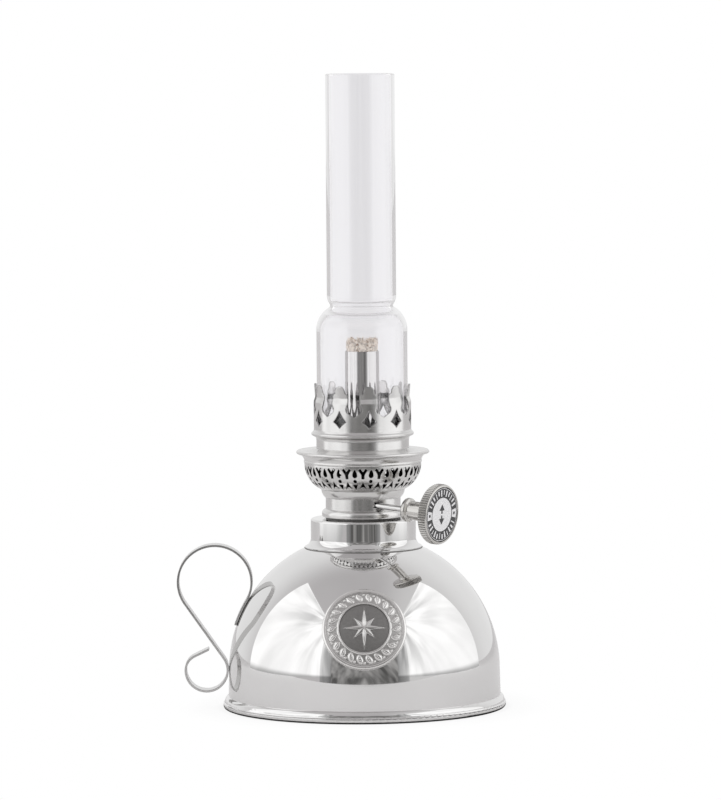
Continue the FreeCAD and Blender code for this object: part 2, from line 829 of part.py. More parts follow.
def ring_on_spindle(name, radius, start, end):
    outer = winder_cylinder(f"{name}_outer", radius, start, end)
    inner = winder_cylinder(f"{name}_bore", D.spindle_rad + D.running_gap, start - 1, end + 1)
    return combine("Part::Cut", name, outer, inner)


def spindle():
    made = winder_cylinder("spindle", D.spindle_rad, -1 * D.spindle_inner, D.knob_face - 2)
    made.Label = "spindle"
    return made


def spindle_bush():
    """Bush pressed into the neck wall where the spindle comes out."""
    return ring_on_spindle("spindle_bush", D.bush_rad, D.bush_start, D.bush_start + D.bush_length)


def spindle_end_bush():
    """Bearing on the neck's inner wall for the spindle's inner end."""
    start = -1 * D.spindle_inner - 1
    ring = ring_on_spindle("end_bush_ring", D.bush_rad, start, start + D.end_bush_length)
    inside = cylinder("end_bush_limit", D.burner_bore - D.solder_gap, D.bead_low, D.basket_top)
    return combine("Part::Common", "spindle_end_bush", ring, inside)


def wick_wheel(name, middle):
    """Toothed wheel that grips the wick; middle is its place along the spindle."""
    part = body(name)
    corners = WHEEL_TEETH * 2
    teeth = []
    for i in range(corners):
        radius = D.wheel_rad if i % 2 else D.wheel_rad - D.tooth_tall
        angle = FULL_TURN * i / corners
        teeth.append((radius * cosine(size(angle)), radius * sine(size(angle))))
    bore = D.spindle_rad + D.solder_gap
    quarters = [(bore, 0), (0, bore), (-1 * bore, 0), (0, -1 * bore)]
    ring = [(x, y, -1 * bore) for x, y in quarters]
    drawn = sketch(part, f"{name}_teeth", teeth, ring, plane="XY_Plane")
    pad = part.newObject("PartDesign::Pad", f"{name}_pad")
    pad.Profile = drawn
    pad.Midplane = True
    bind(pad, Length=D.wheel_thick)
    part.Tip = pad
    part.Placement = along_winder(middle)
    return part


def knob():
    """Winder knob: flanged hub and disc with a recessed face."""
    bore = D.spindle_rad + D.solder_gap
    corner = D.hub_round
    flange_end = D.hub_start + D.hub_flange
    recess = D.knob_face - D.enamel_sink
    part = turned_body("knob", [
        (bore, D.hub_start),
        (D.hub_flange_rad - corner, D.hub_start),
        (D.hub_flange_rad, D.hub_start + corner, -1 * corner),
        (D.hub_flange_rad, flange_end - corner),
        (D.hub_flange_rad - corner, flange_end, -1 * corner),
        (D.hub_rad, flange_end),
        (D.hub_rad, D.knob_back - D.hub_cove),
        (D.hub_rad + D.hub_cove, D.knob_back, D.hub_cove),
        (D.knob_rad - D.hub_cove, D.knob_back),
        (D.knob_rad, D.knob_back + D.hub_cove, -1 * D.hub_cove),
        (D.knob_rad, D.knob_face - D.knob_edge),
        (D.knob_rad - D.knob_edge, D.knob_face, -1 * D.knob_edge),
        (D.enamel_rad, D.knob_face),
        (D.enamel_rad, recess),
        (0, recess),
        (0, recess - D.knob_web),
        (bore, recess - D.knob_web),
    ])
    part.Placement = WINDER
    return part


def knob_enamel():
    start = D.knob_face - D.enamel_sink + D.solder_gap
    made = winder_cylinder("knob_enamel", D.enamel_rad - D.solder_gap, start, start + D.enamel_thick)
    made.Label = "knob_enamel"
    return made


# ---------------------------------------------------------------- chimney


def chimney():
    """Glass: a wide foot, a rounded shoulder, a pinched waist and a straight tube."""
    wall = D.glass
    waist = D.glass_neck_rad
    lip_rise = D.glass_lip - root(D.glass_lip * D.glass_lip - wall * wall / 4)
    lip_low = D.glass_top - lip_rise
    return turned_body("chimney", [
        (D.glass_rad, D.glass_low),
        (D.glass_rad, D.glass_shoulder),
        (waist, D.glass_neck_low, -1 * D.shoulder_bend),
        (waist, D.glass_neck_top, D.neck_bend),
        (D.glass_tube_rad, D.glass_tube_low, -1 * D.tube_bend),
        (D.glass_tube_rad, lip_low),
        (D.glass_tube_rad - wall, lip_low, -1 * D.glass_lip),
        (D.glass_tube_rad - wall, D.ring_top),
        (D.ring_low_rad, D.ring_low, -1 * D.ring_bend),
        (D.glass_rad - wall, D.glass_shoulder, D.shoulder_bend - wall),
        (D.glass_rad - wall, D.glass_low),
    ])


# ---------------------------------------------------------------- assembly and files


def build():
    half_spacing = D.wheel_spacing / 2
    return [
        font_dome(), base_plate(), collar(), handle_strip(), badge(),
        seal_ring(), burner_neck(), burner_deck(), air_basket(), gallery_dish(), gallery_crown(),
        chimney_seat(), wick_tube(), draught_tube(), spindle_bush(), spindle_end_bush(),
        spindle(), wick_wheel("wick_wheel_inner", -1 * half_spacing),
        wick_wheel("wick_wheel_outer", half_spacing), knob(), knob_enamel(),
        wick(), chimney(),
    ]


def check(pieces):
    """Stops the build if any object failed or any piece isn't a valid solid."""
    for obj in DOC.Objects:
        if "Invalid" in obj.State or "Error" in obj.State:
            raise RuntimeError(f"{obj.Name} failed: {obj.State}")
    for piece in pieces:
        shape = piece.Shape
        if shape.isNull() or not shape.isValid() or not shape.Solids:
            raise RuntimeError(f"{piece.Label} isn't a valid solid")


lamp = build()
DOC.recompute()
check(lamp)
os.makedirs("parts", exist_ok=True)
for piece in lamp:
    piece.Shape.exportStep(f"parts/{piece.Label}.step")
    print(f"{piece.Label}: {len(piece.Shape.Solids)} solid, {piece.Shape.Volume:.1f} mm3")
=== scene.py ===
"""Looks of the kerosene table lamp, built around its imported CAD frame.

Metres, +Z up, in the CAD's frame: the lamp stands on Z = 0 with its badge towards -Y, its handle
at -X and its winder knob at the front right.
"""
import json
import math
import random

import bpy
from mathutils import Matrix, Vector

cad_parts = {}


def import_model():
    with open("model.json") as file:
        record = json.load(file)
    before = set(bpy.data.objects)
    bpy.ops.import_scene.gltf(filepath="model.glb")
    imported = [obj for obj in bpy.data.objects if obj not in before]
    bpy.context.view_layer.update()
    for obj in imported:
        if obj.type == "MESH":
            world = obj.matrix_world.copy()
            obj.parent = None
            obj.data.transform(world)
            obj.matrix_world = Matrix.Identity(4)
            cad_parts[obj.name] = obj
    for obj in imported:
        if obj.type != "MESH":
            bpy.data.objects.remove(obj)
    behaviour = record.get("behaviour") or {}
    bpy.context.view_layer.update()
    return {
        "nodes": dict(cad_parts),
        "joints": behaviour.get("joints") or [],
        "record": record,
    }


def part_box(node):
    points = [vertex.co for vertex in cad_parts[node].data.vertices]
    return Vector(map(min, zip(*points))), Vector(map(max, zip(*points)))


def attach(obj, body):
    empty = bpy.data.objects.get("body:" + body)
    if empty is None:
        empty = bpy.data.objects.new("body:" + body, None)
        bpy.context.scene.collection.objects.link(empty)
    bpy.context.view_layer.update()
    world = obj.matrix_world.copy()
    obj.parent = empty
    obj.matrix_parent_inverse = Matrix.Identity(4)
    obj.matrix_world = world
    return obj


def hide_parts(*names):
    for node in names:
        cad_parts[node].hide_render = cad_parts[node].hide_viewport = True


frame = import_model()
NODES = frame["nodes"]
JOINTS = {joint["name"]: joint for joint in frame["joints"]}
MM = 0.001
FULL = 2 * math.pi

# ---------------------------------------------------------------- node graphs


class Graph:
    """A material's or world's node tree, with short calls to add and join its nodes."""

    def __init__(self, owner):
        owner.use_nodes = True
        self.tree = owner.node_tree
        self.tree.nodes.clear()

    def add(self, kind, inputs=None, **settings):
        """Adds a node. An input's value is a number, a tuple or another node's socket."""
        node = self.tree.nodes.new(kind)
        for name, setting in settings.items():
            setattr(node, name, setting)
        for name, given in (inputs or {}).items():
            socket = node.inputs[name]
            if isinstance(given, bpy.types.NodeSocket):
                self.tree.links.new(given, socket)
            else:
                socket.default_value = given
        return node

    def maths(self, operation, first, second=0.0, third=0.0):
        node = self.add("ShaderNodeMath", {0: first, 1: second, 2: third}, operation=operation)
        return node.outputs[0]

    def span(self, given, low, high, to_low=0.0, to_high=1.0, smooth=False):
        """Maps a number from one span to another."""
        kind = "SMOOTHSTEP" if smooth else "LINEAR"
        node = self.add("ShaderNodeMapRange", interpolation_type=kind, inputs={
            "Value": given, "From Min": low, "From Max": high, "To Min": to_low, "To Max": to_high})
        return node.outputs["Result"]

    def noise(self, where, scale, detail=3.0, roughness=0.55):
        node = self.add("ShaderNodeTexNoise", {
            "Vector": where, "Scale": scale, "Detail": detail, "Roughness": roughness})
        return node.outputs["Fac"]

    def mix(self, share, first, second):
        """A colour between two colours or sockets."""
        node = self.add("ShaderNodeMix", {"Factor": share}, data_type="RGBA")
        for socket, given in zip((node.inputs[6], node.inputs[7]), (first, second)):
            if isinstance(given, bpy.types.NodeSocket):
                self.tree.links.new(given, socket)
            else:
                socket.default_value = (*given, 1.0)
        return node.outputs[2]

    def place(self):
        """The point's place in its object, in metres."""
        return self.add("ShaderNodeTexCoord").outputs["Object"]

    def length(self, x, y):
        return self.maths("SQRT", self.maths("ADD", self.maths("MULTIPLY", x, x),
                                             self.maths("MULTIPLY", y, y)))

    def split(self, vector):
        parts = self.add("ShaderNodeSeparateXYZ", {0: vector}).outputs
        return parts[0], parts[1], parts[2]

    def join(self, x=0.0, y=0.0, z=0.0):
        return self.add("ShaderNodeCombineXYZ", {0: x, 1: y, 2: z}).outputs[0]

    def bump(self, height, depth, over=None):
        """A normal from a height of 0 to 1 that stands for depth metres, over another normal."""
        inputs = {"Height": height, "Distance": depth}
        if over is not None:
            inputs["Normal"] = over
        return self.add("ShaderNodeBump", inputs).outputs["Normal"]

    def rounded(self, radius):
        """A normal that rounds off sharp edges, and how near such an edge a point is, 0 to 1."""
        soft = self.add("ShaderNodeBevel", {"Radius": radius}, samples=6).outputs["Normal"]
        flat = self.add("ShaderNodeNewGeometry").outputs["Normal"]
        alike = self.add("ShaderNodeVectorMath", {0: soft, 1: flat},
                         operation="DOT_PRODUCT").outputs["Value"]
        return soft, self.span(alike, 0.99, 0.8)

    def straight_through(self):
        """1 on rays that came from the camera through glass alone, 0 on the rest."""
        path = self.add("ShaderNodeLightPath").outputs
        unturned = self.maths("LESS_THAN", path["Glossy Depth"], 0.5)
        return self.maths("MULTIPLY", path["Is Transmission Ray"], unturned)

    def surface(self, shader):
        self.add("ShaderNodeOutputMaterial", {"Surface": shader.outputs[0]})

    def glow(self, colour, strength):
        """A lit cloth that can't be seen through glass."""
        cloth = self.add("ShaderNodeEmission", {"Color": (*colour, 1.0), "Strength": strength})
        nothing = self.add("ShaderNodeBsdfTransparent")
        self.surface(self.add("ShaderNodeMixShader", {
            0: self.straight_through(), 1: cloth.outputs[0], 2: nothing.outputs[0]}))


def around_axis(graph, turn_scale=0.0):
    """Texture place made from the distance to the lamp's axis and the height: constant round it."""
    x, y, z = graph.split(graph.place())
    angle = graph.maths("MULTIPLY", graph.maths("ARCTAN2", y, x), turn_scale)
    return graph.join(graph.length(x, y), angle, z)


def facing_in(graph):
    """1 on surfaces that face the lamp's axis, 0 on the rest."""
    x, y, z = graph.split(graph.place())
    facing = graph.add("ShaderNodeNewGeometry").outputs["True Normal"]
    outward = graph.add("ShaderNodeVectorMath", {0: graph.join(x, y), 1: facing},
                        operation="DOT_PRODUCT").outputs["Value"]
    return graph.maths("LESS_THAN", outward, 0.0)


# ---------------------------------------------------------------- materials

NICKEL = (0.80, 0.795, 0.792)
EDGE_SHADE = 0.3                   # share of a metal's colour left on its sharp edges, darkened there as painted shade
# painted shade inside the burner: the metal there darkens towards this colour
INSIDE_SHADE = (0.012, 0.011, 0.010)
FLUE_RAD = 7 * MM               # the wick tubes lie within this distance of the axis
SHADE_FADE = 12 * MM             # height over which the painted shade sets in
CROWN_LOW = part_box("gallery_crown")[0][2]
YARN_HEIGHT = 0.9 * MM          # one turn of the wick's weave
YARNS_ROUND = 48
SCORCH = (0.34, 0.22, 0.15)     # colour of the flecks on the wick


def polished_metal(name, colour, roughness=0.03, smudge=0.02, ripple=0.0, shade_top=0.0, edges=0.0):
    """Mirror plate: faint wiping marks, a little cloudiness, and a slow ripple of the sheet.

    Close to the lamp's axis, below the top height given, it is nearly black with painted shade.
    edges is the width over which its sharp edges are rounded and darkened with painted shade.
    """
    made = bpy.data.materials.new(name)
    graph = Graph(made)
    place = graph.place()
    cloud = graph.noise(place, 35.0, detail=4.0)
    wipe = graph.noise(around_axis(graph, 0.004), 900.0, detail=2.0)
    rough = graph.maths("ADD", graph.span(cloud, 0.35, 0.75, roughness, roughness + smudge),
                        graph.span(wipe, 0.5, 0.8, 0.0, smudge / 2))
    tone = graph.mix(graph.span(cloud, 0.4, 0.8), colour, [c * 0.95 for c in colour])
    # painted shade inside the burner: near the axis and below the top height given
    if shade_top:
        x, y, z = graph.split(place)
        close = graph.maths("LESS_THAN", graph.length(x, y), FLUE_RAD)
        shaded_inside = graph.maths("MULTIPLY", close, graph.span(z, shade_top, shade_top - SHADE_FADE))
        tone = graph.mix(shaded_inside, tone, INSIDE_SHADE)
        rough = graph.maths("ADD", rough, graph.maths("MULTIPLY", shaded_inside, 0.5))
    settings = {"Base Color": tone, "Metallic": 1.0, "Roughness": rough}
    if ripple:
        settings["Normal"] = graph.bump(graph.noise(place, 28.0, detail=1.0), ripple)
    if edges:
        soft, edge = graph.rounded(edges)
        settings["Normal"] = soft
        # painted shade on the sharp edges
        settings["Base Color"] = graph.mix(graph.maths("MULTIPLY", edge, 0.7), tone,
                                           [c * EDGE_SHADE for c in colour])
    graph.surface(graph.add("ShaderNodeBsdfPrincipled", settings))
    return made


def turned_metal(name, colour, roughness=0.17, shade_top=0.0, edges=0.3 * MM):
    """Satin plate with fine turning marks round the axis, and painted shade on its rounded edges.

    Surfaces that face the axis below the top height given are dark with painted shade.
    """
    made = bpy.data.materials.new(name)
    graph = Graph(made)
    place = graph.place()
    marks = graph.noise(around_axis(graph, 0.0012), 3200.0, detail=2.0, roughness=0.6)
    blotch = graph.noise(place, 60.0, detail=3.0)
    rough = graph.maths("ADD", graph.span(marks, 0.3, 0.8, roughness * 0.85, roughness * 1.15),
                        graph.span(blotch, 0.35, 0.8, 0.0, 0.04))
    tone = graph.mix(graph.span(blotch, 0.3, 0.8), colour, [c * 0.93 for c in colour])
    soft, edge = graph.rounded(edges)
    # painted shade on the sharp edges
    tone = graph.mix(graph.maths("MULTIPLY", edge, 0.8), tone, [c * EDGE_SHADE for c in colour])
    # painted shade inside the burner: faces turned to the axis, below the top height given
    if shade_top:
        low = graph.maths("LESS_THAN", graph.split(place)[2], shade_top)
        shaded_inside = graph.maths("MULTIPLY", facing_in(graph), low)
        tone = graph.mix(shaded_inside, tone, INSIDE_SHADE)
        rough = graph.maths("ADD", rough, graph.maths("MULTIPLY", shaded_inside, 0.5))
    graph.surface(graph.add("ShaderNodeBsdfPrincipled", {
        "Base Color": tone, "Metallic": 1.0, "Roughness": rough, "Anisotropic": 0.3,
        "Normal": graph.bump(marks, 0.004 * MM, over=soft)}))
    return made


def struck_metal(name, high, low):
    """Relief metal: bright where it is rubbed, dull and dark in the ground (attribute "ground")."""
    made = bpy.data.materials.new(name)
    graph = Graph(made)
    ground = graph.add("ShaderNodeAttribute", attribute_name="ground").outputs["Fac"]
    grain = graph.noise(graph.place(), 2600.0, detail=3.0)
    depth = graph.maths("MULTIPLY", ground, graph.span(grain, 0.2, 0.8, 0.75, 1.0))
    graph.surface(graph.add("ShaderNodeBsdfPrincipled", {
        "Base Color": graph.mix(depth, high, low), "Metallic": 1.0,
        "Roughness": graph.span(ground, 0.0, 1.0, 0.13, 0.42),
        "Normal": graph.bump(grain, 0.012 * MM)}))
    return made


def clear_glass(name, tint):
    """Lamp glass. Rays reflected by other surfaces pass straight through it and keep them lit."""
    made = bpy.data.materials.new(name)
    graph = Graph(made)
    path = graph.add("ShaderNodeLightPath")
    seed = graph.noise(graph.place(), 18.0, detail=1.0)
    glass = graph.add("ShaderNodeBsdfPrincipled", {
        "Base Color": (*tint, 1.0), "Roughness": 0.0, "Transmission Weight": 1.0, "IOR": 1.47,
        "Normal": graph.bump(seed, 0.1 * MM)})
    clear = graph.add("ShaderNodeBsdfTransparent", {"Color": (*[c * 0.98 for c in tint], 1.0)})
    passing = graph.maths("MAXIMUM", path.outputs["Is Shadow Ray"],
                          path.outputs["Is Reflection Ray"])
    graph.surface(graph.add("ShaderNodeMixShader", {
        0: passing, 1: glass.outputs[0], 2: clear.outputs[0]}))
    return made


def cotton(name, colour):
    """Woven cotton: fine crossing threads, painted shade in the hollows, and scorched flecks."""
    made = bpy.data.materials.new(name)
    graph = Graph(made)
    x, y, z = graph.split(graph.place())
    angle = graph.maths("ARCTAN2", y, x)
    across = graph.maths("SINE", graph.maths("MULTIPLY", angle, YARNS_ROUND))
    along = graph.maths("SINE", graph.maths("MULTIPLY", z, FULL / YARN_HEIGHT))
    weave = graph.maths("MULTIPLY", across, along)
    fuzz = graph.noise(graph.place(), 900.0, detail=4.0)
    height = graph.maths("ADD", graph.maths("MULTIPLY", weave, 0.4), fuzz)
    fleck = graph.noise(graph.place(), 1500.0, detail=1.0)
    # painted shade: darker where the fuzz is low, in the hollows of the bump
    tone = graph.mix(graph.span(fuzz, 0.42, 0.56), [c * 0.62 for c in colour], colour)
    tone = graph.mix(graph.span(fleck, 0.58, 0.68), tone, SCORCH)
    graph.surface(graph.add("ShaderNodeBsdfPrincipled", {
        "Base Color": tone, "Roughness": 0.95, "Sheen Weight": 0.5, "Sheen Roughness": 0.6,
        # a faint painted glow, standing for light through the thin fibres
        "Emission Color": tone, "Emission Strength": 0.11,
        "Normal": graph.bump(height, 0.15 * MM)}))
    return made


def glazed(name, colour, roughness=0.18):
    """Fired enamel with faint speckle and orange peel."""
    made = bpy.data.materials.new(name)
    graph = Graph(made)
    peel = graph.noise(graph.place(), 1500.0, detail=2.0)
    tone = graph.mix(graph.span(peel, 0.45, 0.8), colour, [c * 0.94 for c in colour])
    graph.surface(graph.add("ShaderNodeBsdfPrincipled", {
        "Base Color": tone, "Roughness": roughness, "Coat Weight": 0.4,
        "Normal": graph.bump(peel, 0.02 * MM)}))
    return made


def dull_grey(name):
    """Rubber, with a fine grain. The bead of painted shadow at the collar's foot shares it."""
    made = bpy.data.materials.new(name)
    graph = Graph(made)
    grain = graph.noise(graph.place(), 2200.0, detail=3.0)
    tone = graph.mix(grain, (0.22, 0.215, 0.21), (0.34, 0.335, 0.33))
    graph.surface(graph.add("ShaderNodeBsdfPrincipled", {
        "Base Color": tone, "Roughness": 0.7, "Normal": graph.bump(grain, 0.03 * MM)}))
    return made


MATERIALS = {
    "polished_nickel": polished_metal("polished_nickel", NICKEL, ripple=0.02 * MM),
    "nickel_strip": polished_metal("nickel_strip", (0.62, 0.615, 0.61), roughness=0.14, smudge=0.1,
                                   edges=0.25 * MM),
    "badge_nickel": struck_metal("badge_nickel", (0.80, 0.79, 0.78), (0.22, 0.215, 0.21)),
    "satin_nickel": turned_metal("satin_nickel", (0.74, 0.733, 0.726), shade_top=CROWN_LOW),
    "crown_nickel": turned_metal("crown_nickel", (0.72, 0.714, 0.708), shade_top=CROWN_LOW,
                                 edges=0.6 * MM),
    "tube_nickel": polished_metal("tube_nickel", (0.76, 0.755, 0.75), roughness=0.06, smudge=0.05,
                                  shade_top=CROWN_LOW + SHADE_FADE),
    "knob_nickel": struck_metal("knob_nickel", (0.62, 0.607, 0.585), (0.15, 0.146, 0.14)),
    "wheel_brass": turned_metal("wheel_brass", (0.78, 0.60, 0.32), roughness=0.3),
    "enamel": glazed("enamel", (0.90, 0.90, 0.91)),
    "seal_rubber": dull_grey("seal_rubber"),
    "cotton": cotton("cotton", (1.0, 0.91, 0.82)),
    "clear_glass": clear_glass("clear_glass", (0.988, 0.985, 0.99)),
}
for part in frame["record"]["subparts"]:
    skin = NODES[part["node"]].data.materials
    skin.clear()
    skin.append(MATERIALS[part["material_slot"]])
NODES["gallery_crown"].data.materials[0] = MATERIALS["crown_nickel"]

# ---------------------------------------------------------------- mesh helpers


def grid_mesh(name, rows, sharp=35.0):
    """Quads between rows of points; every row runs round and closes on itself."""
    width = len(rows[0])
    faces = []
    for i in range(len(rows) - 1):
        low, high = i * width, (i + 1) * width
        for j in range(width):
            after = (j + 1) % width
            faces.append((low + j, low + after, high + after, high + j))
    return smooth_mesh(name, [point for row in rows for point in row], faces, sharp)


def smooth_mesh(name, points, faces, sharp=35.0):
    """A smooth-shaded mesh that keeps its edges sharper than an angle in degrees."""
    mesh = bpy.data.meshes.new(name)
    mesh.from_pydata(points, [], faces)
    mesh.shade_smooth()
    mesh.set_sharp_from_angle(angle=math.radians(sharp))
    return mesh


def piece(name, rides, mesh, slot, *replaced):
    """Adds a mesh as a piece that moves with a body, in the material of one of the CAD's slots."""
    mesh.materials.append(MATERIALS[slot])
    made = bpy.data.objects.new(name, mesh)
    bpy.context.scene.collection.objects.link(made)
    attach(made, rides)
    if replaced:
        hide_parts(*replaced)
    return made


def mark_ground(mesh, depths):
    """Stores how deep in the dull ground each vertex lies, 0 to 1."""
    layer = mesh.attributes.new("ground", "FLOAT", "POINT")
    for entry, depth in zip(layer.data, depths):
        entry.value = depth


def ease(low, high, given):
    """0 below low, 1 above high, and a smooth step between them."""
    share = min(max((given - low) / (high - low), 0.0), 1.0)
    return share * share * (3 - 2 * share)


def bead(middle, half, given):
    """A rounded ridge, 1 at its middle and 0 beyond its half width."""
    share = (given - middle) / half
    return math.sqrt(max(1 - share * share, 0.0))


# ---------------------------------------------------------------- badge

BADGE_RAD = 15.8                # millimetres, as the other sizes of the badge
BADGE_TILT = math.radians(24.0)
BALL_RAD = 51.6
BALL_MID = 14.4
BADGE_RIDGES = (                # middle, half width and height of each
    (15.1, 0.7, 0.5),
    (9.8, 0.45, 0.35),
    (14.3, 0.3, 0.18),
)
BADGE_GROUND = 0.75             # height of the border's ground above the dome
STAR_GROUND = 0.45
STAR_FIELD = 9.4                # radius of the ground round the star
STAR_POINTS = 8
STAR_LONG = 8.8
STAR_SHORT = 6.0
STAR_WAIST = 2.6                # radius of the notches between the points
BORDER = 12.2                   # middle of the band of leaves
LEAVES = 22
LEAF_REACH = 1.75               # half the length of a leaf
LEAF_HALF = 1.15                # half its width
LEAF_SLANT = 0.35
LEAF_RELIEF = 0.5
BEAD_RAD = 0.42
BEAD_OUT = 1.1                  # how far outside the band's middle the beads lie


def star_height(radius, angle):
    """Compass star with four long and four short points, each with a ridge down its middle."""
    pitch = FULL / STAR_POINTS
    sector = math.floor(angle / pitch + 0.5)
    turn = abs(angle - sector * pitch)
    tip = STAR_LONG if sector % 2 == 0 else STAR_SHORT
    along, across = radius * math.cos(turn), radius * math.sin(turn)
    edge_along = STAR_WAIST * math.cos(pitch / 2) - tip
    edge_across = STAR_WAIST * math.sin(pitch / 2)
    span = math.hypot(edge_along, edge_across)
    inside = ((tip - along) * edge_across + edge_along * across) / span
    return ease(0.0, 0.25, inside) * (0.45 + 0.35 * ease(0.0, 1.6, inside))


def leaf_height(radius, angle):
    """A wreath of small leaves with a bead between each pair."""
    pitch = FULL / LEAVES
    turn = (angle / pitch) % 1.0 - 0.5
    across = turn * pitch * BORDER
    slant = across + LEAF_SLANT * (radius - BORDER)
    reach = 1 - (abs(radius - BORDER) / LEAF_REACH) ** 2
    leaf = bead(0.0, LEAF_HALF * reach, slant) if reach > 0.02 else 0.0
    vein = 0.25 * (1 - ease(0.0, 0.2, abs(slant)))
    gap = min(abs(across - pitch * BORDER / 2), abs(across + pitch * BORDER / 2))
    dot = bead(0.0, BEAD_RAD, math.hypot(gap, radius - BORDER - BEAD_OUT))
    return max(leaf * LEAF_RELIEF - vein * leaf, dot * LEAF_RELIEF)


def badge_relief(radius, angle):
    """Height above the dome in millimetres, and how deep the point lies in the dull ground."""
    ridges = sum(height * bead(middle, half, radius) for middle, half, height in BADGE_RIDGES)
    if radius < STAR_FIELD:
        motif = star_height(radius, angle)
        return STAR_GROUND + motif, 1.0 - ease(0.1, 0.45, motif)
    motif = leaf_height(radius, angle)
    dullness = 0.45 * (1.0 - ease(0.05, 0.3, motif + ridges))
    return BADGE_GROUND + motif + ridges, dullness


def struck_badge():
    """Round badge bent to the dome's ball, with a star in a wreath."""
    rings, steps = 120, 330
    smallest = 0.02
    outward = Vector((0.0, -math.cos(BADGE_TILT), math.sin(BADGE_TILT)))
    up = Vector((0.0, math.sin(BADGE_TILT), math.cos(BADGE_TILT)))
    right = Vector((1.0, 0.0, 0.0))
    rows, depths = [], []
    for i in range(rings + 2):
        radius = max(BADGE_RAD * min(i, rings) / rings, smallest)
        row = []
        for j in range(steps):
            angle = FULL * j / steps
            height, depth = badge_relief(radius, angle) if i <= rings else (smallest, 0.0)
            ball = BALL_RAD + height
            across, along = radius * math.sin(angle), radius * math.cos(angle)
            lift = math.sqrt(ball * ball - radius * radius)
            point = outward * lift + right * across + up * along
            row.append((point + Vector((0.0, 0.0, BALL_MID))) * MM)
            depths.append(depth)
        rows.append(row)
    mesh = grid_mesh("struck_badge", rows, sharp=60.0)
    mesh.flip_normals()
    mark_ground(mesh, depths)
    piece("struck_badge", "font", mesh, "badge_nickel", "badge")


# ---------------------------------------------------------------- winder knob

FLUTES = 74
STEPS_A_FLUTE = 6
FLUTE_DEPTH = 0.42              # millimetres, as the other sizes of the knob
FACE_HEIGHT = 41.12             # top of the enamel along the spindle
INK_STEP = 0.0004               # how far each shape of the face lies above the one before
FACE_RAD = 10.15
FACE_SECTORS = 24
INK_RINGS = ((6.35, 9.75), (9.95, FACE_RAD))
BARS = 30                       # white bars in the wide black ring
BAR_END = 9.3
SIDE_GAP = math.radians(14)     # half the part of the ring at each side with no bars
SIDE_SPREAD = math.radians(11)  # half the white field round the dot in that part
DOT_PLACE = 8.05
DOT_RAD = 0.62
ARROW_TIP = 3.9


def winder_place():
    """Frame with +Z along the spindle and +Y upwards, at the knob's joint."""
    joint = JOINTS["knob_turn"]
    along = Vector(joint["axis"]).normalized()
    across = Vector((0.0, 0.0, 1.0)).cross(along).normalized()
    up = along.cross(across)
    turn = Matrix((across, up, along)).transposed().to_4x4()
    return Matrix.Translation(Vector(joint["pos_m"])) @ turn


def knurled_knob(place):
    """Spool-shaped hub and a disc whose rim is cut with fine flutes."""
    # radius, distance along the spindle, and 1 where the flutes cut it
    profile = [
        (1.2, 25.0, 0), (3.9, 25.0, 0), (4.35, 25.15, 0), (4.55, 25.6, 0), (4.55, 26.5, 0),
        (4.3, 26.9, 0), (3.7, 27.1, 0), (3.45, 27.6, 0), (3.5, 28.4, 0), (3.6, 31.0, 0),
        (3.6, 35.6, 0), (3.9, 36.6, 0), (4.6, 37.15, 0), (5.2, 37.3, 0), (9.8, 37.3, 0),
        (10.6, 37.4, 0), (11.0, 37.65, 0), (11.15, 37.9, 0), (11.3, 38.1, 1), (11.4, 38.4, 1),
        (11.4, 40.5, 1), (11.3, 40.8, 1), (11.15, 40.95, 0), (11.05, 41.15, 0), (10.8, 41.3, 0),
        (10.45, 41.3, 0), (10.3, 41.1, 0), (10.3, 40.5, 0), (0.02, 40.5, 0),
    ]
    steps = FLUTES * STEPS_A_FLUTE
    rows, depths = [], []
    for radius, height, cut in profile:
        row = []
        for j in range(steps):
            wave = 0.5 - 0.5 * math.cos(FULL * j / STEPS_A_FLUTE)
            depth = cut * wave ** 0.7
            angle = FULL * j / steps
            reach = radius - FLUTE_DEPTH * depth
            point = Vector((reach * math.cos(angle), reach * math.sin(angle), height))
            row.append(place @ (point * MM))
            depths.append(depth)
        rows.append(row)
    mesh = grid_mesh("knurled_knob", rows, sharp=50.0)
    mark_ground(mesh, depths)
    piece("knurled_knob", "winder", mesh, "knob_nickel", "knob")


def flat_shape(place, outline, lift):
    """Corners of a flat shape on the knob's face, a little above the one below it."""
    return [place @ (Vector((x, y, lift)) * MM) for x, y in outline]


def ring_outline(inner, outer, start, end, steps):
    """Outline of part of a ring, between two angles clockwise from the top."""
    angles = [start + (end - start) * i / steps for i in range(steps + 1)]
    far = [(outer * math.sin(a), outer * math.cos(a)) for a in angles]
    near = [(inner * math.sin(a), inner * math.cos(a)) for a in reversed(angles)]
    return far + near


def dot_outline(x, y, radius, steps=16):
    turns = [FULL * i / steps for i in range(steps)]
    return [(x + radius * math.sin(t), y + radius * math.cos(t)) for t in turns]


